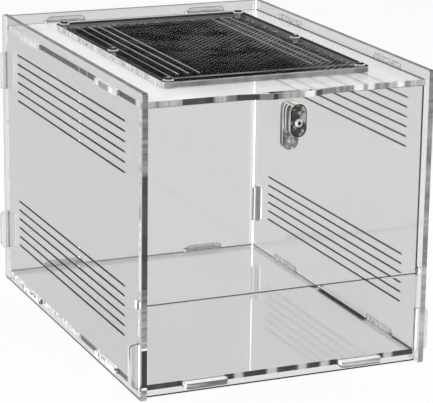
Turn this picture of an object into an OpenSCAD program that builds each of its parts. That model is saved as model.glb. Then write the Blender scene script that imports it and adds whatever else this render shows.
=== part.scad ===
// Clear pet keeper: a box of interlocking flat sheets with a drop-down front
// door, a turn-button latch and a screened vent in the roof.
// Millimetres. +Z is up, the door faces -Y, +X is to the right seen from the
// front. The origin is under the middle of the whole object, on the floor.

/* [Case] */
// overall width over the two side panels
case_w = 217; // [185:1:400]
// depth of the side panels, front to back
case_d = 300; // [260:1:500]
// height of the side and back panels
case_h = 214; // [204:1:320]
// thickness of the sheet that every panel is cut from
sheet = 4; // [3:0.5:5]
// corner radius of the side panels
corner_r = 1.5; // [0.5:0.5:8]
// upper face of the floor above the ground
floor_top = 8; // [6:0.5:20]
// upper face of the roof below the top of the side panels
roof_drop = 7; // [4:0.5:20]
// front face of the lip and door behind the side panels' front edges
front_inset = 6.2; // [5:0.1:20]
// back face of the back panel ahead of the side panels' rear edges
back_inset = 5.6; // [3:0.1:20]
// gap between one sheet and the next at every joint
joint_gap = 0.05; // [0.02:0.01:0.2]

/* [Tabs] */
// how far the lip, back, and front and rear floor tabs stand out
tab_out = 6; // [1:0.5:10]
// how far the side tabs of the floor and roof stand out
side_tab_out = 1.5; // [0.5:0.5:6]
// rounding of the outer tab corners
tab_r = 3; // [0.5:0.5:5]
// height of the lip's side tabs
lip_tab_h = 31; // [10:1:50]
// lower edge of the lip's side tabs
lip_tab_z = 8; // [6:0.5:20]
// height of the back panel's side tabs
back_tab_h = 29; // [10:1:60]
// length of the floor and roof side tabs
side_tab_l = 42; // [10:1:80]
// the side tabs' centres ahead of and behind mid-depth
side_tab_y = 82; // [22:1:115]
// width of the floor's and roof's front and rear tabs
end_tab_w = 32; // [10:1:60]
// those tabs' centres to each side of the middle
end_tab_x = 59.5; // [20:0.5:86]

/* [Side vents] */
// slits in each of the two groups on a side panel
slits = 6; // [2:1:7]
// length of one slit
slit_l = 230; // [80:1:265]
// width of one slit
slit_w = 1.2; // [0.6:0.1:4]
// distance from one slit to the next
slit_pitch = 7.15; // [4.5:0.05:9.5]
// middle of the slits ahead of mid-depth
slit_ahead = 2.2; // [0:0.1:20]
// lowest slit of the lower group
low_slit_z = 37; // [20:0.5:80]
// lowest slit of the upper group
high_slit_z = 153; // [90:0.5:165]

/* [Door] */
// upper edge of the fixed lip
lip_top = 64.2; // [45:0.1:120]
// hinge axis above the lip's upper edge
hinge_rise = 3; // [3:0.1:6]
// gap between the lip and the door above it
lip_gap = 1.2; // [0.6:0.1:1.5]
// gap between the door and the panels beside it
door_gap = 0.5; // [0.3:0.1:2]
// height of each hinge ear
ear_h = 5.5; // [4:0.1:5.8]
// how far each ear stands out of its side panel
ear_out = 1; // [0:0.1:4]

/* [Latch] */
// latch pivot below the roof's upper face
latch_drop = 19; // [18:0.5:30]
// width of the latch arm and of the knob
arm_w = 12; // [8:0.5:15]
// how far the tip of the raised arm stands above the roof
arm_over = 2.5; // [1:0.5:6]
// length of the knob
knob_l = 23; // [16:0.5:25]
// knob centre behind the pivot, away from the arm's tip
knob_shift = 1.6; // [0:0.1:3]
// running gap in front of the door and around the keeper
run_gap = 0.3; // [0.2:0.05:0.6]
// width of the strip that closes the keeper slot in front of the arm
keeper_strip = 1.6; // [1:0.1:4]
// where the keeper's long curves meet the straight front edge
flare_x = 45; // [41:1:90]
// radius of those curves
flare_r = 72; // [20:1:100]

/* [Vent] */
// width of the ring frame on the roof
vent_w = 157; // [80:1:165]
// depth of the ring frame
vent_d = 224; // [100:1:234]
// outer corner radius of the ring frame
vent_r = 5; // [1:0.5:20]
// width of the ring itself
vent_rim = 11.5; // [10:0.5:20]
// gap between the ring and the cover that lies inside it
cover_gap = 0.5; // [0.3:0.1:2]
// slits on each side of the cover
cover_slits = 3; // [1:1:6]
// length of a slit in the cover
cover_slit_l = 180; // [60:1:185]
// distance between the cover's slits
cover_pitch = 7.8; // [4:0.1:10]
// outermost slit in from the cover's edge
cover_slit_in = 7.8; // [5:0.1:20]
// width of the roof's ledge under the cover
ledge = 3; // [1:0.5:5]
// screws in from the ring's outer edges
screw_in = 5.8; // [5:0.1:6]
// thickness of the woven mesh
mesh_t = 0.6; // [0.3:0.1:1.5]
// mesh in from the ring's outer edges
mesh_in = 2.5; // [0:0.5:10]

/* [Fasteners] */
// thread of the vent screws
vent_screw_d = 4; // [3:0.5:4]
// thread of the latch screw
latch_screw_d = 3; // [2.5:0.5:3]

/* [Hidden] */
$fn = 48;
inner_x = case_w/2 - sheet;
mid_y = case_d/2;
floor_z = floor_top - sheet;
roof_top = case_h - roof_drop;
roof_z = roof_top - sheet;
back_y = case_d - back_inset - sheet;
// middles of the back panel's side tabs
back_tab_z = [0.2*case_h - 0.8, 0.8*case_h];
front_y = front_inset;
door_y = front_y + sheet/2;
hinge_z = lip_top + hinge_rise;
door_bottom = lip_top + lip_gap;
// the square ears turn in these holes with 0.1 mm at their corners
hinge_hole_d = 2*norm([sheet, ear_h]/2) + 0.2;
door_top = roof_z - door_gap;
door_half = inner_x - door_gap;
latch_z = roof_top - latch_drop;
// the arm fills the keeper slot with a running gap on each side
arm_front = front_y - run_gap - sheet;
keeper_front = arm_front - run_gap;
knob_front_y = arm_front - 3*sheet;
arm_reach = latch_drop + arm_over;
// the keeper slot clears the circle that the arm's tip sweeps
keeper_side_gap = 0.35;
keeper_w = 2*(sqrt(pow(arm_reach, 2) - pow(latch_drop - sheet, 2)) + keeper_side_gap);
// the latch screw ends just past its nut
head_gap = 0.1;
past_nut = 0.2;
// the vent screws are threaded into the roof sheet and end inside it
thread_gap = 0.02;
short_of_face = 0.5;
head_ratio = 0.55;
washer_t = 0.5;
latch_nut_h = 4;
latch_nut_y = front_y + sheet + washer_t + latch_nut_h;
latch_seat_y = knob_front_y - head_gap;
screw_x = vent_w/2 - screw_in;
screw_y = vent_d/2 - screw_in;
vent_z = roof_top + mesh_t;
vent_top = vent_z + sheet;
opening = [vent_w - 2*vent_rim, vent_d - 2*vent_rim];
cover_size = opening - 2*cover_gap*[1, 1];
window = cover_size - 2*ledge*[1, 1];
inner_r = 2;
// the object's own extent, front to back, about which it is centred
front_most = latch_seat_y - head_ratio*latch_screw_d;
back_most = back_y + sheet + tab_out;
centre_y = (front_most + back_most)/2;
clear = [0.80, 0.84, 0.85, 0.35];
steel = [0.72, 0.72, 0.73];

// ---------- helpers ----------

module place() {
    translate([0, -centre_y, 0]) children();
}

// a flat outline drawn in X and Y, cut from level sheet
module level(z, t) {
    translate([0, 0, z]) linear_extrude(t) children();
}

// a flat outline drawn in X and Z, cut from sheet that stands across the case
module across(y, t) {
    translate([0, y + t, 0]) rotate([90, 0, 0]) linear_extrude(t) children();
}

// a flat outline drawn in Y and Z, cut from sheet that stands front to back
module lengthwise(x, t) {
    translate([x, 0, 0]) rotate([90, 0, 90]) linear_extrude(t) children();
}

module rounded(size, r) {
    square([size.x - 2*r, size.y], center = true);
    square([size.x, size.y - 2*r], center = true);
    for (sx = [-1, 1], sy = [-1, 1])
        translate([sx*(size.x/2 - r), sy*(size.y/2 - r)]) circle(r);
}

module slit(length, width) {
    square([length - width, width], center = true);
    for (s = [-1, 1])
        translate([s*(length - width)/2, 0]) circle(d = width);
}

// outline of a rectangle from one corner to the other
module span(x0, y0, x1, y1) {
    translate([x0, y0]) square([x1 - x0, y1 - y0]);
}

// a tab that leaves a straight edge at x = 0 towards +X
module tab(reach, width, r) {
    translate([reach/2 - width/2, 0]) rounded([reach + width, width], r);
}

// the slot in the next sheet that takes a tab of this width
module tab_slot(width) {
    square([width + 2*joint_gap, sheet + 2*joint_gap], center = true);
}

// ---------- side panels ----------

module slit_group(z) {
    for (i = [0:slits - 1])
        translate([mid_y - slit_ahead, z + i*slit_pitch]) slit(slit_l, slit_w);
}

module side_outline() {
    difference() {
        translate([mid_y, case_h/2]) rounded([case_d, case_h], corner_r);
        slit_group(low_slit_z);
        slit_group(high_slit_z);
        // floor and roof side tabs
        for (z = [floor_z, roof_z], s = [-1, 1])
            translate([mid_y + s*side_tab_y, z + sheet/2]) tab_slot(side_tab_l);
        // lip tab
        translate([front_y + sheet/2, lip_tab_z + lip_tab_h/2]) rotate(90) tab_slot(lip_tab_h);
        // back panel tabs
        for (z = back_tab_z)
            translate([back_y + sheet/2, z]) rotate(90) tab_slot(back_tab_h);
        // hinge hole
        translate([door_y, hinge_z]) circle(d = hinge_hole_d);
    }
}

module left_panel() {
    color(clear) place() lengthwise(-case_w/2, sheet) side_outline();
}

module right_panel() {
    color(clear) place() lengthwise(inner_x, sheet) side_outline();
}

// ---------- back, floor, roof and lip ----------

module back_panel() {
    half = inner_x - joint_gap;
    color(clear) place() across(back_y, sheet) difference() {
        union() {
            span(-half, 0, half, case_h);
            for (s = [0, 1], z = back_tab_z)
                mirror([s, 0]) translate([half, z])
                    tab(sheet + joint_gap + tab_out, back_tab_h, tab_r);
        }
        for (z = [floor_z, roof_z], s = [-1, 1])
            translate([s*end_tab_x, z + sheet/2]) tab_slot(end_tab_w);
    }
}

module level_panel(front) {
    half = inner_x - joint_gap;
    rear = back_y - joint_gap;
    span(-half, front, half, rear);
    // side tabs
    for (s = [0, 1], k = [-1, 1])
        mirror([s, 0]) translate([half, mid_y + k*side_tab_y])
            tab(sheet + joint_gap + side_tab_out, side_tab_l, side_tab_out);
    // rear tabs
    for (s = [-1, 1])
        translate([s*end_tab_x, rear]) rotate(90)
            tab(sheet + joint_gap + tab_out, end_tab_w, tab_r);
}

module floor_panel() {
    front = front_y + sheet + joint_gap;
    color(clear) place() level(floor_z, sheet) {
        level_panel(front);
        for (s = [-1, 1])
            translate([s*end_tab_x, front]) rotate(-90)
                tab(sheet + joint_gap + tab_out, end_tab_w, tab_r);
    }
}

// the roof's front edge sweeps forward in two long curves to a tab whose
// closed slot takes the tip of the latch arm
module keeper_flare(edge) {
    difference() {
        span(-flare_x, keeper_front - keeper_strip, flare_x, edge + 1);
        for (s = [-1, 1])
            translate([s*flare_x, edge - flare_r]) circle(flare_r, $fn = 180);
    }
}

module roof_panel() {
    edge = front_y - 0.5;
    color(clear) place() level(roof_z, sheet) difference() {
        union() {
            level_panel(edge);
            keeper_flare(edge);
        }
        span(-keeper_w/2, keeper_front, keeper_w/2, front_y);
        translate([0, mid_y]) rounded(window, inner_r);
        screw_places() circle(d = vent_screw_d + thread_gap);
    }
}

module front_lip() {
    half = inner_x - joint_gap;
    color(clear) place() across(front_y, sheet) difference() {
        union() {
            span(-half, 0, half, lip_top);
            for (s = [0, 1])
                mirror([s, 0]) translate([half, lip_tab_z + lip_tab_h/2])
                    tab(sheet + joint_gap + tab_out, lip_tab_h, tab_r);
        }
        for (s = [-1, 1])
            translate([s*end_tab_x, floor_z + sheet/2]) tab_slot(end_tab_w);
    }
}

// ---------- roof vent ----------

module screw_places() {
    for (s = [-1, 1], k = [-1, 0, 1])
        translate([s*screw_x, mid_y + k*screw_y]) children();
}

module screw_holes() {
    screw_places() circle(d = vent_screw_d + 0.3);
}

// a ring frame that clamps the mesh to the roof
module vent_frame() {
    color(clear) place() level(vent_z, sheet) difference() {
        translate([0, mid_y]) rounded([vent_w, vent_d], vent_r);
        translate([0, mid_y]) rounded(opening, inner_r);
        screw_holes();
    }
}

// the slitted cover lies on the mesh inside the ring
module vent_cover() {
    color(clear) place() level(vent_z, sheet) translate([0, mid_y]) difference() {
        rounded(cover_size, inner_r);
        for (s = [-1, 1], i = [0:cover_slits - 1])
            translate([s*(cover_size.x/2 - cover_slit_in - i*cover_pitch), 0])
                rotate(90) slit(cover_slit_l, slit_w);
    }
}

module vent_mesh() {
    color([0.16, 0.155, 0.16])
    place() level(roof_top + joint_gap, mesh_t - 2*joint_gap) difference() {
        translate([0, mid_y])
            rounded([vent_w, vent_d] - 2*mesh_in*[1, 1], max(vent_r - mesh_in, 0.5));
        screw_holes();
    }
}

// button-head screw with a hexagon socket, head up, seat at z = 0
module button_screw(d, length) {
    head_r = 0.95*d;
    head_h = head_ratio*d;
    rim = 0.1*d;
    flat_r = 0.5*d;
    // the dome runs from the rim to the flat around the socket
    dome_z = (pow(flat_r, 2) + pow(head_h, 2) - pow(head_r, 2) - pow(rim, 2))/(2*(head_h - rim));
    dome_r = norm([head_r, rim - dome_z]);
    difference() {
        rotate_extrude() {
            span(0, 0, head_r, rim);
            intersection() {
                span(0, rim/2, head_r, head_h);
                translate([0, dome_z]) circle(dome_r, $fn = 96);
            }
        }
        translate([0, 0, head_h*0.4]) cylinder(d = 0.74*d, h = head_h, $fn = 6);
    }
    translate([0, 0, -length]) cylinder(d = d, h = length + 0.1);
}

module vent_screws() {
    color(steel) place() screw_places() translate([0, 0, vent_top])
        button_screw(vent_screw_d, vent_top - roof_z - short_of_face);
}

// ---------- door ----------

module door_outline() {
    ear_tip = case_w/2 + ear_out;
    neck = inner_x + 0.7;
    difference() {
        union() {
            span(-door_half, door_bottom, door_half, door_top);
            for (s = [0, 1]) mirror([s, 0]) {
                span(door_half - 1, door_bottom, neck, hinge_z + ear_h/2);
                span(neck - 0.01, hinge_z - ear_h/2, ear_tip, hinge_z + ear_h/2);
            }
        }
        translate([0, latch_z]) circle(d = latch_screw_d + 0.2);
    }
}

module front_door() {
    color(clear) place() across(front_y, sheet) door_outline();
}

// things on the latch pivot are drawn along +Z and laid to point to the front
module on_pivot(y) {
    translate([0, y, latch_z]) rotate([90, 0, 0]) children();
}

module latch_screw() {
    color(steel) place() on_pivot(latch_seat_y)
        button_screw(latch_screw_d, latch_nut_y + past_nut - latch_seat_y);
}

module latch_washer() {
    color(steel) place() on_pivot(front_y + sheet + washer_t) difference() {
        cylinder(d = 7, h = washer_t);
        translate([0, 0, -1]) cylinder(d = latch_screw_d + 0.2, h = washer_t + 2);
    }
}

module latch_nut() {
    across_flats = 5.5;
    color(steel) place() on_pivot(latch_nut_y) rotate(30) difference() {
        cylinder(d = across_flats/cos(30), h = latch_nut_h, $fn = 6);
        translate([0, 0, -1]) cylinder(d = latch_screw_d + thread_gap, h = latch_nut_h + 2);
    }
}

// ---------- latch ----------

// the latch hangs unlocked: half a turn lifts the arm's tip into the keeper
module latch_hole() {
    circle(d = latch_screw_d + 0.16);
}

module stadium(y0, y1) {
    span(-arm_w/2, y0 + arm_w/2, arm_w/2, y1 - arm_w/2);
    translate([0, y0 + arm_w/2]) circle(d = arm_w);
    translate([0, y1 - arm_w/2]) circle(d = arm_w);
}

module latch_layer(front, y0, y1) {
    color(clear) place() across(front, sheet - joint_gap)
        translate([0, latch_z]) difference() {
            stadium(y0, y1);
            latch_hole();
        }
}

module latch_cam() {
    latch_layer(arm_front, -arm_reach, knob_shift + knob_l/2);
}

module knob_layer(i) {
    latch_layer(arm_front - i*sheet, knob_shift - knob_l/2, knob_shift + knob_l/2);
}

module knob_back() {
    knob_layer(1);
}

module knob_middle() {
    knob_layer(2);
}

module knob_front() {
    knob_layer(3);
}

left_panel();
right_panel();
back_panel();
floor_panel();
roof_panel();
front_lip();
vent_frame();
vent_cover();
vent_mesh();
vent_screws();
front_door();
latch_screw();
latch_washer();
latch_nut();
latch_cam();
knob_back();
knob_middle();
knob_front();
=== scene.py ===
import math
from typing import NamedTuple

import bpy
from mathutils import Matrix, Vector


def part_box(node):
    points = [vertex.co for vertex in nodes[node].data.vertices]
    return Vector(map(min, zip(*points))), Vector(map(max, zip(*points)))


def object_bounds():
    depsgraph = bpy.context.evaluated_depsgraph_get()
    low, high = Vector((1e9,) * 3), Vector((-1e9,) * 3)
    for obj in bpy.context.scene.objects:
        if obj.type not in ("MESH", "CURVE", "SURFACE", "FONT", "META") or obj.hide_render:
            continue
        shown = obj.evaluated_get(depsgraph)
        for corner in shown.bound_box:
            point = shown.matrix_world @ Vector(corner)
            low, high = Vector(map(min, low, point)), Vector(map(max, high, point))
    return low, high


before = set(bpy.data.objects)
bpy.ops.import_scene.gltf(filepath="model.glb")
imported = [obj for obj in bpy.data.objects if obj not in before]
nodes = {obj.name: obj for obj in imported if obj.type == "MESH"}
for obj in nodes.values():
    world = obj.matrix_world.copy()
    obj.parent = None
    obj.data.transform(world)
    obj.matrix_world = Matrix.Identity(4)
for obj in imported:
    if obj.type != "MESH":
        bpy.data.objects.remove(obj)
cad_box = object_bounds()

scene = bpy.context.scene
scene.view_settings.view_transform = "Standard"

# ---------- camera ----------
YAW, PITCH, ROLL = (math.radians(a) for a in (23.475, 15.653, 0.780))
CAM_AT = Vector((-0.5977, -1.39418, 0.51795))
SENSOR, LENS = 36, 175.15   # mm

fwd = Vector((math.sin(YAW) * math.cos(PITCH), math.cos(YAW) * math.cos(PITCH), -math.sin(PITCH)))
right = Vector((math.cos(YAW), -math.sin(YAW), 0))
up = right.cross(fwd)
cam_x = right * math.cos(ROLL) + up * math.sin(ROLL)
cam_y = -right * math.sin(ROLL) + up * math.cos(ROLL)
cam_data = bpy.data.cameras.new("camera")
cam_data.sensor_fit = "HORIZONTAL"
cam_data.sensor_width = SENSOR
cam_data.lens = LENS
cam_data.clip_end = 50
camera = bpy.data.objects.new("camera", cam_data)
basis = Matrix((cam_x, cam_y, -fwd)).transposed().to_4x4()
camera.matrix_world = Matrix.Translation(CAM_AT) @ basis
scene.collection.objects.link(camera)
scene.camera = camera

# ---------- shared values, in metres where they are lengths ----------
X, Y, Z, TAB = 0, 1, 2, 3

IOR = 1.49            # of acrylic
PANE = 0.80           # share of the light that one pane passes
CLEAR = 0.97          # share that a face passes which only lets light through
SHADOW = 0.93         # share of the lamps' light that one face of clear sheet passes
FACING = 0.7          # a face looks along an axis when its normal has more than this of it
STEP = 0.0002         # softness of a painted line's side
LINE = 0.95           # cover of a painted line

FOOT = 0.0005         # edges lower than this stand on the ground
RIM_IN = 0.003        # the vent ring's outer rim lies within this of its box
MARGIN = 0.0035       # the weave painted under the ring ends this far inside its box
WEAVE = 0.0029        # pitch of the mesh's threads

RIGHT_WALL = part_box("right_panel")[0][X]    # inner face
BACK_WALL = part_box("back_panel")[0][Y]      # inner face
LIP_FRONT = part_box("front_lip")[0][Y]
DOOR_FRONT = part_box("front_door")[0][Y]
FLOOR_LOW, FLOOR_TOP = (corner[Z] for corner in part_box("floor_panel"))
ROOF_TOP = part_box("roof_panel")[1][Z]
MID_Z = cad_box[1][Z] / 2


class Pattern(NamedTuple):
    """Noise, of which the range from start to full is spread from 0 to 1."""
    scale: float            # per metre, or three of them for X, Y and Z
    start: float
    full: float
    detail: float = 2.0
    rough: float = 0.5


class Cut(NamedTuple):
    """How a laser-cut edge looks from outside its sheet: light and dark stretches with fine bands, painted
    in place of what it mirrors.
    """
    dark: float
    light: float
    share: float            # of its length that is dark
    length: float           # of a stretch, mm
    fine: float             # strength of the fine bands
    clear: float            # share that is clear
    across: float = 0.02    # near 1 the pattern is broken up over the thickness too
    soft: float = 0.05      # half of a step's softness
    rows: bool = False      # the stretches lie in rows along the edge
    glow: float = 0.0       # painted glow, given off by the edge as emission
    warm: float = 0.01      # tint towards yellow
    shine: float = 0.5      # specular level


class Lit(NamedTuple):
    """Edges beyond a distance from a middle along a direction, where a tab stands in its slot: they get a
    painted glow in spots.
    """
    along: int
    middle: float
    beyond: float
    least: float            # level of the darkest spots; 1 is plain white


class Within(NamedTuple):
    """How an edge looks from within its sheet: clear, with some painted tone over it and a thin painted dark
    line, in place of what it mirrors.
    """
    tone: float
    cover: float            # share of the tone
    line: float             # width of the dark line along the near face, mm
    glow: float = 0.0       # painted glow, given off by the edge as emission
    lit: Lit = None


class Span(NamedTuple):
    """A stretch of an edge, between two places along a direction, where its tone is scaled and raised: a
    painted reflection.
    """
    along: int
    start: float
    end: float
    factor: float
    plus: float = 0.0
    soft: float = 0.0006    # softness of its ends
    outline: float = 0.0    # width of a painted white outline round it, a painted highlight
    front: bool = False     # on the foremost edge only


class Seam(NamedTuple):
    """A dark line along the right-hand wall, between two places along Y."""
    width: float
    front: float
    rear: float


class PaleTab(NamedTuple):
    """How the tabs' faces look: a pale cover of painted reflection, with its painted glow."""
    cover: float = 0.22
    tone: float = 0.66
    glow: float = 0.0


class Shade(NamedTuple):
    """Painted darkening of the tabs in a far panel: how they differ from the others."""
    extra: float            # what is added to the milk's cover
    tone: float


class Lump(NamedTuple):
    """Painted images of the level sheets' tabs, standing for their reflections, on an upright panel, to both
    sides of its middle.
    """
    middle: float           # of a tab, along the panel
    half: float             # of its length
    height: float           # of the image, above the slot
    radius: float           # of the image's corners
    dark: float
    light: float
    spots: Pattern          # from dark to light
    cover: float
    outline: float          # cover of the dark outline


def bright(along, *places):
    """Painted reflections: places along an edge that are made bright, as if it mirrored something bright."""
    return [Span(along, start, end, factor=0.3, plus=0.75, soft=0.0025) for start, end in places]


def black(along, *places):
    """Painted reflections: places along an edge that are made dark, as if it mirrored something dark."""
    return [Span(along, start, end, factor=0.10, soft=0.0015) for start, end in places]


def grey(v, warm=0.0):
    return (v * (1 + warm), v, v * (1 - warm), 1.0)


# ---------- node helpers ----------
class Tree:
    """Adds nodes to a node tree and joins them."""

    def __init__(self, owner):
        owner.use_nodes = True
        self.t = owner.node_tree
        self.t.nodes.clear()

    def add(self, kind, inputs=None, **settings):
        n = self.t.nodes.new(kind)
        for k, v in settings.items():
            setattr(n, k, v)
        for k, v in (inputs or {}).items():
            self.put(n.inputs[k], v)
        return n

    def put(self, socket, v):
        if isinstance(v, bpy.types.NodeSocket):
            self.t.links.new(v, socket)
        else:
            socket.default_value = v

    def math(self, op, a, b=0.0, c=0.0):
        n = self.add("ShaderNodeMath", operation=op)
        for s, v in zip(n.inputs, (a, b, c)):
            self.put(s, v)
        return n.outputs[0]

    def plus(self, a, b):
        return self.math("ADD", a, b)

    def minus(self, a, b):
        return self.math("SUBTRACT", a, b)

    def times(self, a, b):
        return self.math("MULTIPLY", a, b)

    def greatest(self, a, b):
        return self.math("MAXIMUM", a, b)

    def above(self, a, b):
        """1 where a is more than b, else 0."""
        return self.math("GREATER_THAN", a, b)

    def below(self, a, b):
        return self.math("LESS_THAN", a, b)

    def size(self, a):
        return self.math("ABSOLUTE", a)

    def away(self, value, middle):
        """Distance from a middle."""
        return self.size(self.minus(value, middle))

    def past(self, value, middle, half):
        """How far out of a stretch to both sides of a middle; less than 0 within it."""
        return self.minus(self.away(value, middle), half)

    def length(self, a, b):
        return self.math("SQRT", self.plus(self.times(a, a), self.times(b, b)))

    def ramp(self, value, lo, hi, to_lo=0.0, to_hi=1.0):
        """to_lo at lo and before, to_hi at hi and after."""
        return self.add("ShaderNodeMapRange", {0: value, 1: lo, 2: hi, 3: to_lo, 4: to_hi}).outputs[0]

    def fade(self, value, lo, hi, most=1.0):
        return self.ramp(value, lo, hi, to_lo=most, to_hi=0.0)

    def noise(self, vector, scale, detail=2.0, rough=0.5):
        settings = {"Vector": vector, "Scale": scale, "Detail": detail, "Roughness": rough}
        return self.add("ShaderNodeTexNoise", settings).outputs["Fac"]

    def pattern(self, look, vector, to_lo=0.0, to_hi=1.0, shift=None):
        """look is a Pattern; shift is added to its noise."""
        scale = look.scale
        if isinstance(scale, tuple):
            vector, scale = self.scaled(vector, scale), 1.0
        noise = self.noise(vector, scale, look.detail, look.rough)
        if shift is not None:
            noise = self.plus(noise, shift)
        return self.ramp(noise, look.start, look.full, to_lo, to_hi)

    def scaled(self, vector, by):
        return self.add("ShaderNodeVectorMath", {0: vector, 1: by}, operation="MULTIPLY").outputs[0]

    def split(self, vector):
        return self.add("ShaderNodeSeparateXYZ", {0: vector}).outputs

    def backfacing(self):
        """1 where a face is seen from within its piece."""
        return self.add("ShaderNodeNewGeometry").outputs["Backfacing"]

    def mix(self, fac, a, b):
        """Mixes two colours: the node's colour sockets are inputs 6 and 7 and output 2."""
        n = self.add("ShaderNodeMix", data_type="RGBA")
        self.put(n.inputs[0], fac)
        self.put(n.inputs[6], a)
        self.put(n.inputs[7], b)
        return n.outputs[2]

    def toned(self, tone, warm=0.0):
        """A grey whose tone comes from nodes. warm adds red and takes 1.5 times as much blue."""
        red = self.times(tone, 1 + warm) if warm else tone
        blue = self.times(tone, 1 - 1.5 * warm) if warm else tone
        return self.add("ShaderNodeCombineColor", {0: red, 1: tone, 2: blue}).outputs[0]

    def blend(self, fac, a, b):
        """Mixes two shaders."""
        return self.add("ShaderNodeMixShader", {0: fac, 1: a, 2: b}).outputs[0]

    def plain(self, color):
        return self.add("ShaderNodeBsdfDiffuse", {"Color": color}).outputs[0]

    def passing(self, share):
        """Lets a share of the light straight through."""
        return self.add("ShaderNodeBsdfTransparent", {"Color": grey(share)}).outputs[0]

    def light(self, color, strength):
        return self.add("ShaderNodeEmission", {"Color": color, "Strength": strength}).outputs[0]

    def with_light(self, shader, strength):
        return self.add("ShaderNodeAddShader", {0: shader, 1: self.light(grey(1.0), strength)}).outputs[0]

    def principled(self, color, roughness, **more):
        """In the names of further inputs _ stands for a space."""
        inputs = {"Base Color": color, "Roughness": roughness}
        inputs.update((key.replace("_", " "), v) for key, v in more.items())
        return self.add("ShaderNodeBsdfPrincipled", inputs).outputs[0]

    def glass(self, color, roughness, **more):
        return self.principled(color, roughness, IOR=IOR, Transmission_Weight=1.0, **more)

    def bump(self, height, strength, distance):
        settings = {"Strength": strength, "Distance": distance, "Height": height}
        return self.add("ShaderNodeBump", settings).outputs[0]

    def finish(self, surface):
        self.put(self.add("ShaderNodeOutputMaterial").inputs["Surface"], surface)


class Piece(Tree):
    """The tree of a piece's material, with places and normals in the piece's own axes."""

    def __init__(self, name):
        self.material = bpy.data.materials.new(name)
        super().__init__(self.material)
        self.pos = self.add("ShaderNodeTexCoord").outputs["Object"]
        self.xyz = self.split(self.pos)

    def own_normal(self):
        """The face's normal, without its signs."""
        geo = self.add("ShaderNodeNewGeometry")
        turn = self.add("ShaderNodeVectorTransform", {0: geo.outputs["True Normal"]},
                        vector_type="NORMAL", convert_from="WORLD", convert_to="OBJECT")
        return [self.size(o) for o in self.split(turn.outputs[0])]

    def finish_clear(self, surface, share):
        """Each face lets a share of the lamps' light through, so that the piece casts a faint shadow."""
        path = self.add("ShaderNodeLightPath")
        self.finish(self.blend(path.outputs["Is Shadow Ray"], surface, self.passing(share)))


# ---------- clear sheet ----------
STRIAE_FINE, STRIAE_LONG = 1700.0, 60.0     # scales of a cut edge's lines: across them and along them


class Sheet(Piece):
    """axis is the sheet's own normal; the other two directions are those that its edges look along."""

    def __init__(self, name, node, axis):
        super().__init__(name)
        self.axis = axis
        self.others = [a for a in (X, Y, Z) if a != axis]
        self.lo, self.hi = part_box(node)
        normal = self.own_normal()
        first, second = self.others
        self.on_edge = self.above(normal[axis], FACING)
        self.turned = self.above(normal[second], normal[first])
        self.striae = self.laser_lines()

    def laser_lines(self):
        """Fine lines over the thickness of a cut edge."""
        per_metre = [STRIAE_FINE] * 3
        per_metre[self.axis] = STRIAE_LONG
        lines = self.noise(self.scaled(self.pos, per_metre), 1.0)
        return self.bump(lines, strength=0.6, distance=0.00002)

    def by_edge(self, shader_of):
        """Each edge gets the shader of the direction that it looks along."""
        return self.blend(self.turned, *(shader_of(a) for a in self.others))


FINE_BANDS = Pattern(9.0, 0.35, 0.65)                           # nine bands to a stretch
SCUFFS = Pattern(26.0, 0.45, 0.75, detail=5.0, rough=0.6)       # where a face isn't quite smooth
SLOT_SPOTS = Pattern(420.0, 0.40, 0.62)                         # spots in the painted glow at the slots
CORE_SPOTS = Pattern(420.0, 0.42, 0.60, detail=1.0)             # painted glints in the painted dark cores of right-hand tabs
# patches of painted dark reflection
DARK_REFLECTION_PATCHES = Pattern(300.0, 0.38, 0.62, detail=1.0)
CLOUDS = Pattern(14.0, 0.30, 0.70)                              # in the roof's painted sheen
# patches of painted reflection on the knob's face
KNOB_PATCHES = Pattern(260.0, 0.48, 0.62, detail=1.0)

IN_ROWS = 0.05        # rows: change along the edge, as a share of that over the thickness
SLOT_LIGHT = 1.6      # strength of the painted glow at the slots
HAZE = 0.004          # roughness of a face where it's haziest
OUTLINE = 0.0003      # half of the width of the outline round the painted image of a tab
SEAM_SOFT = 0.0010    # softness of a seam's ends
KNOB_LINE = 0.0010    # width of the painted dark outline of the knob's face
NEAR = 0.001          # what lies within this of a face counts as lying on it
CORE_MIDDLE, CORE_HALF = 0.0058, 0.0033     # where a right-hand tab's painted dark core lies, from the wall
CORE_DARK, CORE_LIGHT = 0.3, 2.2            # its spots' tones, as multiples of its own
BLACK = grey(0.02)    # tone of painted dark reflections and painted shade
ROOF_SHEEN_REACH = 0.028             # how far from the vent's left side the roof's painted sheen gets greyer
ROOF_SHEEN_TONES = (0.76, 0.60)      # at the vent's side and from there on
ROOF_SHEEN_RANGE = (-0.08, 0.06)     # places on the way to the rear right between which the painted sheen gets thinner
ROOF_SHEEN_SHARE = (1.1, 0.7)        # before and after them
KNOB_LEAN_X, KNOB_LEAN_Z = 0.10, 0.03       # painted light: how much paler its patches get over a radius, to the right and up


def with_span(s, tone, span):
    """The edge's tone with one of its stretches changed."""
    off = s.past(s.xyz[span.along], (span.start + span.end) / 2, (span.end - span.start) / 2)
    if span.front:
        off = s.plus(off, s.above(s.xyz[Y], DOOR_FRONT + NEAR))
    tone = s.times(tone, s.ramp(off, 0.0, span.soft, to_lo=span.factor))
    if span.plus:
        tone = s.plus(tone, s.fade(off, 0.0, span.soft, span.plus))
    if span.outline:
        half = span.outline / 2
        tone = s.greatest(tone, s.fade(s.away(off, half), half, half + STEP, LINE))
    return tone


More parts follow.
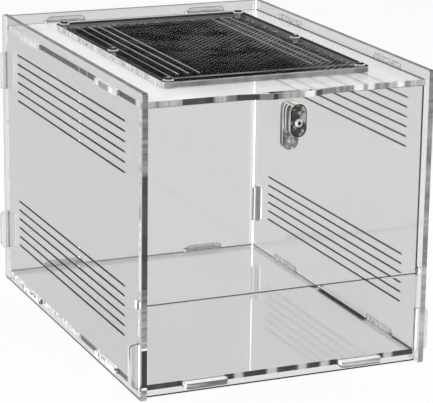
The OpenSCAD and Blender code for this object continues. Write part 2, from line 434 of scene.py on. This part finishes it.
def edge_shader(s, look, spans=()):
    """A cut edge from outside, with its painted reflections and painted glow."""
    fast = 1000.0 / look.length
    if look.rows:
        scale = [fast * IN_ROWS] * 3
        scale[s.axis] = fast
    else:
        scale = [fast] * 3
        scale[s.axis] *= look.across
    place = s.scaled(s.pos, scale)
    part = s.ramp(s.noise(place, 1.0, detail=1.0), look.share - look.soft, look.share + look.soft)
    bands = s.pattern(FINE_BANDS, place, to_lo=1.0 - look.fine, to_hi=1.0 + look.fine)
    tone = s.times(s.plus(look.dark, s.times(part, look.light - look.dark)), bands)
    for span in spans:
        tone = with_span(s, tone, span)
    color = s.toned(tone, look.warm)
    cut = s.principled(color, roughness=0.3, Specular_IOR_Level=look.shine, Normal=s.striae,
                       Emission_Color=color, Emission_Strength=look.glow)
    mostly_clear = look.clear > 0.5
    clear = s.passing(0.95) if mostly_clear else s.glass(grey(0.9), roughness=0.08, Normal=s.striae)
    return s.blend(look.clear, cut, clear)


def within_shader(s, look, dark_foot):
    """A cut edge from within the sheet, with its painted reflection and glow."""
    clear, dark, tone = s.passing(CLEAR), s.plain(BLACK), s.plain(grey(look.tone))
    if look.glow:
        tone = s.with_light(tone, look.glow)
    shader = s.blend(look.cover, clear, tone)
    if look.line:
        # the near face is the upper one of a level sheet and the left or front one of an upright sheet
        place = s.xyz[s.axis]
        depth = s.minus(s.hi[Z], place) if s.axis == Z else s.minus(place, s.lo[s.axis])
        width = look.line / 1000
        shader = s.blend(s.fade(depth, width, width + STEP, LINE), shader, dark)
    # painted glow where tabs stand in their slots
    if look.lit:
        spots = s.pattern(SLOT_SPOTS, s.pos, to_lo=look.lit.least)
        lit = s.blend(0.85, clear, s.light(s.toned(spots), SLOT_LIGHT))
        far_out = s.away(s.xyz[look.lit.along], look.lit.middle)
        shader = s.blend(s.above(far_out, look.lit.beyond), shader, lit)
    # the lowest edges, on the ground, get painted shade when dark_foot is set
    return s.blend(s.below(s.xyz[Z], FOOT), shader, dark if dark_foot else clear)


def on_tabs(s, front_tabs):
    """1 on the tabs, 0 elsewhere. Only level sheets have tabs in the back."""
    out = s.minus(s.size(s.xyz[X]), RIGHT_WALL)
    if s.axis == Z:
        out = s.greatest(out, s.minus(s.xyz[Y], BACK_WALL))
    if front_tabs:
        out = s.greatest(out, s.minus(LIP_FRONT, s.xyz[Y]))
    return s.above(out, STEP)


def pane_face(s, pane, gloss, alone):
    """A face that passes some light and mirrors some. Above the roof and below the floor it's darker."""
    color = grey(pane)
    if alone < 1.0:
        over, under = s.above(s.xyz[Z], ROOF_TOP), s.below(s.xyz[Z], FLOOR_LOW)
        color = s.mix(s.greatest(over, under), color, grey(pane * alone))
    face = s.glass(color, s.pattern(SCUFFS, s.pos, to_hi=HAZE))
    if gloss < 1.0:
        settings = {"Color": grey(math.sqrt(pane)), "Roughness": 0.0, "IOR": IOR}
        face = s.blend(gloss, s.add("ShaderNodeBsdfRefraction", settings).outputs[0], face)
    return face


def with_dark_reflection(s, face, dark_reflection):
    """Painted dark reflection in patches, where it mirrors the dark knob."""
    return s.blend(s.pattern(DARK_REFLECTION_PATCHES, s.pos, to_hi=dark_reflection), face, s.plain(BLACK))


def with_lumps(s, face, look):
    """Painted images of the level sheets' tabs, standing for their reflections, on the panel's inner face
    just above their slots.
    """
    upper = s.times(s.above(s.xyz[Z], MID_Z), ROOF_TOP - FLOOR_TOP)
    rise = s.minus(s.minus(s.xyz[Z], upper), FLOOR_TOP)
    along = Y if s.axis == X else X
    # the image has two round upper corners
    out = s.greatest(s.past(s.size(s.xyz[along]), look.middle, look.half - look.radius), 0.0)
    over = s.greatest(s.minus(rise, look.height - look.radius), 0.0)
    from_core = s.length(out, over)
    on_face = s.times(s.above(rise, -STEP / 2), s.below(s.xyz[s.axis], s.lo[s.axis] + NEAR))
    fill = s.times(s.fade(from_core, look.radius - STEP, look.radius + STEP), on_face)
    color = s.mix(s.pattern(look.spots, s.pos), grey(look.dark, 0.03), grey(look.light, 0.03))
    face = s.blend(s.times(fill, look.cover), face, s.plain(color))
    line = s.fade(s.away(from_core, look.radius - OUTLINE), OUTLINE, 2 * OUTLINE, look.outline)
    return s.blend(s.times(line, on_face), face, s.plain(grey(0.05)))


def with_roof_sheen(s, face, roof_sheen):
    """A painted pale sheen, standing for the roof's reflection, with painted light: least at the rear right,
    and greyer away from the vent's left side.
    """
    from_ring = s.away(s.xyz[X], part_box("vent_frame")[0][X])
    pale = s.plain(s.toned(s.ramp(from_ring, 0.0, ROOF_SHEEN_REACH, *ROOF_SHEEN_TONES)))
    amount = s.pattern(CLOUDS, s.pos, to_lo=roof_sheen * 0.9, to_hi=roof_sheen * 1.1)
    to_rear_right = s.plus(s.xyz[X], s.times(s.xyz[Y], 0.5))
    amount = s.times(amount, s.ramp(to_rear_right, *ROOF_SHEEN_RANGE, *ROOF_SHEEN_SHARE))
    return s.blend(amount, face, pale)


def with_pale_tabs(s, face, tabs, pale_tab, shades, band):
    """The tabs' faces get a pale cover of painted reflection. Those in the right panel or in the back are
    painted darker than the others.
    """
    pale = s.plain(grey(pale_tab.tone, 0.012))
    cover = pale_tab.cover
    for a, shade in shades.items():
        if a == X:
            dark = s.math("COMPARE", s.xyz[X], RIGHT_WALL + CORE_MIDDLE, CORE_HALF)
            ends = (grey(shade.tone * factor, 0.03) for factor in (CORE_DARK, CORE_LIGHT))
            color = s.mix(s.pattern(CORE_SPOTS, s.pos), *ends)
        else:
            dark = s.above(s.xyz[Y], BACK_WALL)
            color = grey(shade.tone, 0.03)
        pale = s.blend(dark, pale, s.plain(color))
        cover = s.plus(cover, s.times(dark, shade.extra))
    if band:
        off = s.past(s.size(s.xyz[X]), (band[0] + band[1]) / 2, (band[1] - band[0]) / 2)
        cover = s.times(cover, s.ramp(off, 0.0, OUTLINE, to_lo=0.1))
    # painted glow on the tabs' faces
    if pale_tab.glow:
        pale = s.with_light(pale, pale_tab.glow)
    return s.blend(s.times(tabs, cover), face, pale)


def with_seam(s, face, seam):
    """A dark line along the right-hand wall."""
    line = s.fade(s.minus(RIGHT_WALL - seam.width, s.xyz[X]), 0.0, STEP, LINE)
    line = s.times(line, s.below(s.xyz[X], RIGHT_WALL))
    off = s.past(s.xyz[Y], (seam.front + seam.rear) / 2, (seam.rear - seam.front) / 2)
    line = s.times(line, s.fade(off, 0.0, SEAM_SOFT))
    return s.blend(line, face, s.plain(grey(0.03)))


def knob_face(s, clear):
    """The knob's round-ended face, with painted reflections: dark patches to one side, pale ones to the
    other, in a dark outline.
    """
    radius = (s.hi[X] - s.lo[X]) / 2
    straight = (s.hi[Z] - s.lo[Z]) / 2 - radius
    dx, dz = (s.minus(s.xyz[a], (s.lo[a] + s.hi[a]) / 2) for a in (X, Z))
    from_core = s.length(dx, s.greatest(s.past(s.xyz[Z], (s.lo[Z] + s.hi[Z]) / 2, straight), 0.0))
    # painted light: the patches get paler to the right and up
    lean = s.plus(s.times(dx, KNOB_LEAN_X / radius), s.times(dz, KNOB_LEAN_Z / radius))
    part = s.pattern(KNOB_PATCHES, s.pos, shift=lean)
    patch = s.principled(s.mix(part, grey(0.010), grey(0.42, 0.02)), roughness=0.15)
    outline = s.ramp(from_core, radius - KNOB_LINE, radius - KNOB_LINE + OUTLINE, to_hi=0.85)
    return s.blend(outline, s.blend(0.80, clear, patch), s.plain(grey(0.015)))


def clear_sheet(name, node, axis, edges, within, tab=None, front_tabs=False, spans=None,
                pane=PANE, gloss=1.0, alone=1.0, roof_sheen=0.0, dark_reflection=0.0, lumps=None,
                pale_tab=PaleTab(), shades=None, band=None, seams=(), dark_foot=False, capsule=False):
    """Clear acrylic.

    edges, within   looks of its edges from outside and from within, by the direction that they look along
    tab             looks of its tabs' edges, if its tabs differ; front_tabs counts those in front too
    spans           stretches of edges that differ, as painted reflections, by direction, or by TAB for the tabs
    pane, alone     share of the light that it passes, and a factor on it above the roof and below the floor
    gloss           share of its mirroring that is kept
    frost, smoke    cover of a painted pale sheen and of painted dark reflections in patches
    lumps           painted images of other sheets' tabs on its inner face, standing for their reflections
    milk, shades    painted reflection on its tabs' faces, and how those that look out of the right panel (X) or back (Y) are painted darker
    band            where a clear band crosses its side tabs, from and to along X
    seams           dark lines along the right-hand wall
    dark_foot       its lowest edges get painted shade from within
    capsule         it has the knob's face with painted reflections
    """
    s = Sheet(name, node, axis)
    spans = spans or {}
    face = pane_face(s, pane, gloss, alone)
    if dark_reflection:
        face = with_dark_reflection(s, face, dark_reflection)
    if lumps:
        face = with_lumps(s, face, lumps)
    if roof_sheen:
        face = with_roof_sheen(s, face, roof_sheen)
    edge = s.by_edge(lambda a: edge_shader(s, edges[a], spans.get(a, ())))
    if tab:
        tabs = on_tabs(s, front_tabs)
        tab_edge = s.by_edge(lambda a: edge_shader(s, tab[a], spans.get(TAB, ())))
        edge = s.blend(tabs, edge, tab_edge)
        face = with_pale_tabs(s, face, tabs, pale_tab, shades or {}, band)
    for seam in seams:
        face = with_seam(s, face, seam)
    if capsule:
        face = knob_face(s, face)
    inner = s.by_edge(lambda a: within_shader(s, within[a], dark_foot))
    edge = s.blend(s.backfacing(), edge, inner)
    s.finish_clear(s.blend(s.on_edge, edge, face), SHADOW)
    return s.material


# ---------- steel ----------
PLATED_DULL, PLATED = (0.82, 0.81, 0.79, 1), (0.95, 0.94, 0.92, 1)
# painted dark reflection on the screws' heads
MIRRORED_DARK = (0.045, 0.044, 0.042, 1)
STEEL_GRAIN = 900.0     # per metre
HEAD_SOFT = 0.03        # over this much of the normal a head's painted dark reflection sets in


def steel(name, axis, dark_from):
    """Plated steel. A screw's head, across axis, gets a painted dark reflection of the dark above it; its
    sides are bright.
    """
    s = Piece(name)
    grain = s.noise(s.pos, STEEL_GRAIN, detail=4.0)
    rough = s.ramp(grain, 0.3, 0.7, to_lo=0.12, to_hi=0.24)
    plated = s.mix(grain, PLATED_DULL, PLATED)
    # painted dark reflection on the head
    on_head = s.ramp(s.own_normal()[axis], dark_from, dark_from + HEAD_SOFT)
    color = s.mix(on_head, plated, MIRRORED_DARK)
    relief = s.bump(grain, strength=0.3, distance=0.00004)
    metal = s.principled(color, rough, Metallic=1.0, Normal=relief)
    s.finish(s.blend(0.5, metal, s.plain(color)))
    return s.material


# ---------- vent ----------
LIP_RANGE = (0.80, 0.84)            # heights in the plate between which the slits' lips begin
LIP_COVER = (0.95, 0.20)            # how much of the lips shows, from outside and from within
SPECK = (0.36, 0.34, 0.29, 1)       # specks on the ring's sides
THREAD = (0.26, 0.25, 0.22, 1)      # threads under the ring
UNDER = (0.085, 0.080, 0.068, 1)    # painted shade under the ring, past the threads
THREAD_RANGE = (0.15, 0.35)         # heights of the weave between which a thread begins to show
SHEEN_RANGE = (0.11, 0.02)          # distances from its middle at which the mesh's painted sheen begins and is full
BRIGHT_END = (0.035, 0.055)         # painted light: places along X between which the mesh gets brighter
DIM_LIPS = (0.0, 0.03)              # painted light: places along X between which the lips get dimmer, to this share:
DIM_SHARE = 0.75
SPECKLED = (0.95, 0.40)             # heights in the ring between which specks begin on its sides
TOP_EDGE = (0.72, 0.80)             # and the painted lighter top of its front and rear
ROOF_SEEN = (0.60, 0.45)            # and the pale roof that the far rims show as painted reflection
UNDERSIDE = 0.02                    # up to here a face is the lower one
FACE_GLOSS, RIM_GLOSS = 0.012, 0.25             # shares that mirror

# patches of the mesh's painted sheen
SHEEN_PATCHES = Pattern(38.0, 0.40, 0.58)
DUST = Pattern(420.0, 0.66, 0.74, detail=1.0)
SPECKLE = Pattern(500.0, 0.55, 0.62)
STRETCHES = Pattern((30.0, 0.0, 0.0), 0.42, 0.58, detail=1.0)
THREAD_LIGHT = Pattern(120.0, 0.35, 0.65)
BARE_SPECKS = Pattern((420.0, 170.0, 0.0), 0.48, 0.66)
UPRIGHT_BANDS = Pattern((90.0, 90.0, 4.0), 0.35, 0.65)


def weave(s):
    """Height of the threads of a plain weave, from -1 to 1."""
    warp, weft = (s.math("SINE", s.times(s.xyz[a], math.pi / WEAVE)) for a in (X, Y))
    return s.times(warp, weft)


def woven_mesh(name, sheen_at):
    """Plain-woven dark mesh. Under a painted sheen, the upper threads show as rows of light spots."""
    s = Piece(name)
    over = weave(s)
    away = s.add("ShaderNodeVectorMath", {0: s.pos, 1: sheen_at}, operation="DISTANCE").outputs["Value"]
    # painted sheen: a patch round sheen_at, and more of it to the right
    sheen = s.times(s.ramp(away, *SHEEN_RANGE), s.pattern(SHEEN_PATCHES, s.pos, to_hi=0.37))
    sheen = s.plus(sheen, s.ramp(s.xyz[X], *BRIGHT_END, to_hi=0.55))
    dust = s.pattern(DUST, s.pos, to_hi=0.03)
    level = s.plus(s.times(s.ramp(over, *THREAD_RANGE), s.plus(0.01, sheen)), dust)
    color = s.mix(level, grey(0.007), grey(0.42))
    relief = s.bump(over, strength=0.5, distance=0.0003)
    s.finish(s.principled(color, roughness=0.7, Specular_IOR_Level=0.0, Normal=relief))
    return s.material


def beyond(s, mid, half, inset):
    """1 outside a rectangle that lies inset within the ring's box."""
    out_x, out_y = (s.above(s.away(s.xyz[a], mid[a]), half[a] - inset) for a in (X, Y))
    return s.greatest(out_x, out_y)


def ring_rim(s, rise, bands, normal, gloss, within):
    """The ring's outer rim, with painted reflections: speckled white at the sides, grey with a painted
    lighter top in front and behind.
    """
    speckle = s.times(s.pattern(SPECKLE, s.pos), s.ramp(rise, *SPECKLED))
    side = s.mix(speckle, grey(0.99), SPECK)
    lower = s.mix(s.pattern(STRETCHES, s.pos), grey(0.24), grey(0.46, 0.01))
    end = s.mix(s.ramp(rise, *TOP_EDGE), lower, grey(0.56))
    color = s.mix(s.above(normal[X], normal[Y]), end, side)
    color = s.add("ShaderNodeVectorMath", {0: color, "Scale": bands}, operation="SCALE").outputs[0]
    rim = s.blend(RIM_GLOSS, s.principled(color, roughness=0.25), gloss)
    # from within the sheet, the far rims get painted reflections of the dark mesh above and the pale roof
    # below
    mirrored = s.plain(s.mix(s.ramp(rise, *ROOF_SEEN), grey(0.05), grey(0.24)))
    return s.blend(within, rim, mirrored)


def under_ring(s, mid, half):
    """The margin of the mesh, clamped under the ring, with painted shade and pale specks round it where the
    roof is bare.
    """
    lit = s.pattern(THREAD_LIGHT, s.pos, to_lo=0.1, to_hi=0.8)
    threads = s.times(s.ramp(weave(s), *THREAD_RANGE), lit)
    margin = s.plain(s.mix(threads, grey(0.022), THREAD))
    bare = s.plain(s.mix(s.pattern(BARE_SPECKS, s.pos), UNDER, grey(0.42, 0.02)))
    return s.blend(beyond(s, mid, half, MARGIN), margin, bare)


def vent_sheet(name, lip_light, backed=False):
    """The plates over the mesh: their faces hardly show, their rims and their slits' lips carry painted
    highlights.
    """
    s = Piece(name)
    normal, within = s.own_normal(), s.backfacing()
    lo, hi = (Vector(v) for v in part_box("vent_frame"))
    mid, half = (lo + hi) / 2, (hi - lo) / 2
    clear, gloss = s.passing(CLEAR), s.glass(grey(0.95), roughness=0.03)
    face = s.blend(FACE_GLOSS, clear, gloss)
    # height within the plate, 0 at its lower face and 1 at its upper one
    rise = s.ramp(s.xyz[Z], lo.z, hi.z)
    bands = s.pattern(UPRIGHT_BANDS, s.pos, to_lo=0.75, to_hi=1.2)
    # painted light: the lips get dimmer to the right
    to_right = s.ramp(s.xyz[X], *DIM_LIPS, to_lo=1.0, to_hi=DIM_SHARE)
    lip_tone = s.times(s.times(bands, lip_light), to_right)
    cover = s.times(s.ramp(rise, *LIP_RANGE), s.ramp(within, 0.0, 1.0, *LIP_COVER))
    wall = s.blend(cover, clear, s.principled(s.toned(lip_tone), roughness=0.4))
    rim = ring_rim(s, rise, bands, normal, gloss, within)
    edge = s.blend(beyond(s, mid, half, RIM_IN), wall, rim)
    if backed:
        face = s.blend(s.below(rise, UNDERSIDE), face, under_ring(s, mid, half))
    s.finish_clear(s.blend(s.above(normal[Z], FACING), edge, face), CLEAR)
    return s.material


# ---------- looks of cut edges: painted reflections, highlights and glow ---
#             dark   light share length fine clear
BRIGHT = Cut(0.60, 0.99, 0.36, 9.0, 0.12, 0.05, glow=0.3)
SPARKLING = Cut(0.30, 0.99, 0.47, 2.0, 0.15, 0.05, across=0.7, glow=0.7)
STREAKED = Cut(0.030, 0.055, 0.50, 12.0, 0.30, 0.0)
ROOF_FRONT = Cut(0.18, 0.44, 0.50, 9.0, 0.25, 0.0, soft=0.08)
BANDED = Cut(0.14, 0.24, 0.50, 12.0, 0.30, 0.0)
PALE = Cut(0.22, 0.36, 0.50, 30.0, 0.20, 0.10)
DIM = Cut(0.02, 0.06, 0.50, 30.0, 0.30, 0.0)
SHADED = Cut(0.02, 0.40, 0.72, 8.0, 0.30, 0.0, glow=0.3, shine=0.1)
OPEN = Cut(0.35, 0.55, 0.50, 20.0, 0.20, 0.85)
LUMPY = Cut(0.50, 0.85, 0.50, 3.0, 0.15, 0.20, soft=0.15, glow=0.2, warm=0.02)
PEARLY = Cut(0.45, 0.80, 0.45, 2.2, 0.10, 0.30, rows=True)
BARRED = Cut(0.03, 0.98, 0.48, 2.2, 0.10, 0.10, rows=True)
LEVEL_BARS = Cut(0.16, 0.70, 0.60, 3.0, 0.30, 0.10, soft=0.10, rows=True, warm=0.02)
GLITTER = Cut(0.10, 0.99, 0.45, 3.0, 0.20, 0.05, across=0.8, glow=0.6)
LAYERED = Cut(0.06, 0.85, 0.52, 2.0, 0.25, 0.05, soft=0.10, rows=True, warm=0.03)
GILDED = Cut(0.16, 0.92, 0.46, 3.0, 0.25, 0.05, soft=0.10, warm=0.05)

#             tone cover line
SHUT = Within(0.02, 0.90, 0.0)
FAINT = Within(0.5, 0.08, 1.3)
SOFT = Within(0.6, 0.30, 0.3)
SLITS = Within(0.5, 0.10, 1.8, lit=Lit(Z, MID_Z, beyond=0.093, least=0.3))
SLOTS = Within(0.6, 0.30, 0.5, lit=Lit(Y, 0.0, beyond=0.125, least=1.0))
FRONT_SLOTS = Within(0.6, 0.30, 0.5, lit=Lit(Y, 0.02, beyond=0.145, least=1.0))
# painted glow: a bright line along the edge
GLOWING = Within(0.99, 0.90, 0.0, glow=4.0)

# painted images of tabs, standing for their reflections
SIDE_LUMPS = Lump(middle=0.0815, half=0.021, height=0.0040, radius=0.0022, dark=0.12, light=0.95,
                  spots=Pattern(420.0, 0.40, 0.60, detail=1.0), cover=0.35, outline=0.30)
END_LUMPS = Lump(middle=0.0595, half=0.016, height=0.0044, radius=0.0040, dark=0.30, light=0.50,
                 spots=Pattern(90.0, 0.40, 0.60, detail=1.0), cover=0.40, outline=0.42)
DARKER = 0.87           # factor above the roof and below the floor
PAST_ENDS = 0.2         # past the box's ends, along Y

# ---------- materials; the places along edges are those where the photo has them ----------
SIDE_L = clear_sheet(
    "acrylic_left", "left_panel", X, {Y: BANDED, Z: DIM}, {Y: FRONT_SLOTS, Z: SLITS},
    spans={Y: [Span(Z, 0.080, 0.158, factor=0.22), Span(Z, 0.0, 0.066, factor=1.7),
               Span(Z, 0.0095, 0.0365, factor=0.05, outline=0.0014, front=True)]},
    pane=0.74, gloss=0.4, dark_foot=True)
SIDE_R = clear_sheet(
    "acrylic_right", "right_panel", X, {Y: PALE, Z: DIM}, {Y: SLOTS, Z: SLITS},
    alone=DARKER, lumps=SIDE_LUMPS)
BACK = clear_sheet(
    "acrylic_back", "back_panel", Y, {X: BRIGHT, Z: DIM}, {X: GLOWING, Z: FAINT}, tab={X: PEARLY, Z: PEARLY},
    spans={TAB: [Span(X, 0.0, 0.2, factor=0.1)]},
    alone=DARKER, lumps=END_LUMPS, shades={X: Shade(extra=0.40, tone=0.02)})
LIP = clear_sheet(
    "acrylic_lip", "front_lip", Y, {X: BRIGHT, Z: OPEN}, {X: SOFT, Z: FAINT}, tab={X: BARRED, Z: BARRED},
    gloss=0.25, alone=DARKER, pale_tab=PaleTab(cover=0.45, tone=0.80), band=(0.1108, 0.1128), dark_foot=True)
DOOR = clear_sheet(
    "acrylic_door", "front_door", Y, {X: BRIGHT, Z: DIM}, {X: SHUT, Z: SHUT}, tab={X: BRIGHT, Z: BRIGHT},
    spans={X: [Span(Z, 0.125, 0.30, factor=0.7)]},
    pane=0.82, gloss=0.4)
FLOOR = clear_sheet(
    "acrylic_floor", "floor_panel", Z, {X: SPARKLING, Y: STREAKED}, {X: SHUT, Y: SHUT},
    tab={X: GLITTER, Y: LEVEL_BARS}, front_tabs=True,
    spans={X: [Span(Y, -0.30, -0.020, factor=0.04)],
           Y: bright(X, (-0.0345, -0.0305), (-0.0095, -0.0045), (0.0145, 0.0185),
                     (0.032, 0.036), (0.082, 0.0865))},
    gloss=0.75, pale_tab=PaleTab(cover=0.40, tone=0.90, glow=0.25),
    shades={X: Shade(extra=0.45, tone=0.32), Y: Shade(extra=0.25, tone=0.1696)},
    seams=[Seam(width=0.0040, front=-0.062, rear=0.014), Seam(width=0.0012, front=-0.136, rear=-0.104)])
ROOF = clear_sheet(
    "acrylic_roof", "roof_panel", Z, {X: SHADED, Y: ROOF_FRONT}, {X: SHUT, Y: SHUT},
    tab={X: LUMPY, Y: LUMPY},
    spans={X: bright(Y, (-0.1368, -0.1300), (0.110, 0.142)),
           TAB: [Span(Y, -0.083, -0.066, factor=0.30, soft=0.002)],
           Y: black(X, (-0.0132, -0.0112), (-0.0774, -0.056), (-0.038, -0.024), (0.0172, 0.0232))
           + bright(X, (0.0105, 0.016), (0.0505, 0.0548), (0.0608, 0.0636), (0.084, 0.087))},
    pane=0.97, gloss=0.5, roof_sheen=0.36, pale_tab=PaleTab(cover=0.50, tone=0.62),
    shades={X: Shade(extra=0.30, tone=0.40), Y: Shade(extra=0.15, tone=0.318)},
    seams=[Seam(width=0.0014, front=-PAST_ENDS, rear=PAST_ENDS)])
KNOB = clear_sheet(
    "acrylic_knob", "knob_front", Y, {X: LAYERED, Z: GILDED}, {X: SOFT, Z: SOFT}, pane=0.6, capsule=True)
ARM = clear_sheet(
    "acrylic_arm", "latch_cam", Y, {X: LAYERED, Z: GILDED}, {X: SOFT, Z: SOFT}, dark_reflection=0.7)
COVER = vent_sheet("acrylic_vent", lip_light=0.62)
RING = vent_sheet("acrylic_ring", lip_light=0.12, backed=True)
VENT_STEEL = steel("vent_steel", Z, dark_from=0.62)
LATCH_STEEL = steel("latch_steel", Y, dark_from=0.96)
MESH = woven_mesh("woven_mesh", sheen_at=(0.02, 0.03, 0.2073))

LOOKS = {
    "left_panel": SIDE_L, "right_panel": SIDE_R, "back_panel": BACK, "front_lip": LIP,
    "front_door": DOOR, "floor_panel": FLOOR, "roof_panel": ROOF,
    "vent_frame": RING, "vent_cover": COVER, "vent_mesh": MESH, "vent_screws": VENT_STEEL,
    "latch_screw": LATCH_STEEL, "latch_washer": LATCH_STEEL, "latch_nut": LATCH_STEEL,
    "latch_cam": ARM, "knob_back": KNOB, "knob_middle": KNOB, "knob_front": KNOB,
}
for name, look in LOOKS.items():
    for slot in nodes[name].material_slots:
        slot.link = "DATA"
        slot.material = look
    for polygon in nodes[name].data.polygons:
        polygon.use_smooth = False

# ---------- floor, world and light ----------
GROUND = 6.0          # half of the floor's side
GROUND_GAP = 0.0004   # the floor lies this far below the object
GROUND_TONE, GROUND_WHITE = 0.88, 0.85      # its grey, and the share of white when it's seen or mirrored
SKY_LIGHT = 0.5       # strength of the world's light on things
SKY_DARK = 0.06       # tone of the upper part of the world that glossy faces mirror
DARK_FROM, DARK_FULL = (math.sin(math.radians(a)) for a in (20, 32))    # where that part begins
AIM = Vector((0, 0, 0.1))       # the lamps look here
WHITE = grey(1.0)


def seen_by(tree, first, *others):
    """1 for these kinds of rays, else 0."""
    rays = tree.add("ShaderNodeLightPath").outputs
    seen = rays[first]
    for kind in others:
        seen = tree.greatest(seen, rays[kind])
    return seen


corners = [(-GROUND, -GROUND, 0), (GROUND, -GROUND, 0), (GROUND, GROUND, 0), (-GROUND, GROUND, 0)]
ground_mesh = bpy.data.meshes.new("floor")
ground_mesh.from_pydata(corners, [], [(0, 1, 2, 3)])
ground = bpy.data.objects.new("floor", ground_mesh)
scene.collection.objects.link(ground)
ground.location.z = -GROUND_GAP
ground_look = bpy.data.materials.new("floor")
ground_mesh.materials.append(ground_look)
g = Tree(ground_look)
seen = seen_by(g, "Is Camera Ray", "Is Transmission Ray", "Is Glossy Ray")
g.finish(g.blend(g.times(seen, GROUND_WHITE), g.plain(grey(GROUND_TONE)), g.light(WHITE, 1.0)))

# what is seen directly is white; what glossy faces mirror is white below and dark above
world = bpy.data.worlds.new("world")
scene.world = world
w = Tree(world)
direction = w.split(w.add("ShaderNodeTexCoord").outputs["Generated"])
mirrored = w.mix(w.ramp(direction[Z], DARK_FROM, DARK_FULL), WHITE, grey(SKY_DARK))
base, white, glossy = (w.add("ShaderNodeBackground", {"Color": color, "Strength": strength}).outputs[0]
                       for color, strength in ((WHITE, SKY_LIGHT), (WHITE, 1.0), (mirrored, 1.0)))
seen = seen_by(w, "Is Camera Ray", "Is Transmission Ray")
reflected = w.times(seen_by(w, "Is Glossy Ray"), w.minus(1.0, seen))
sky = w.blend(reflected, w.blend(seen, base, white), glossy)
w.put(w.add("ShaderNodeOutputWorld").inputs["Surface"], sky)


def area(name, at, size, power):
    """A rectangular lamp that looks at the object and isn't seen in reflections."""
    d = bpy.data.lights.new(name, "AREA")
    d.shape = "RECTANGLE"
    d.size, d.size_y = size
    d.energy = power
    o = bpy.data.objects.new(name, d)
    o.location = at
    o.rotation_euler = (AIM - Vector(at)).to_track_quat("-Z", "Y").to_euler()
    o.visible_glossy = False
    scene.collection.objects.link(o)


area("key", (-1.2, -1.0, 1.6), (1.2, 1.2), 23)
area("fill", (1.4, -0.6, 1.2), (0.8, 1.2), 11)
area("top", (0.0, 0.6, 1.7), (1.0, 0.6), 7)
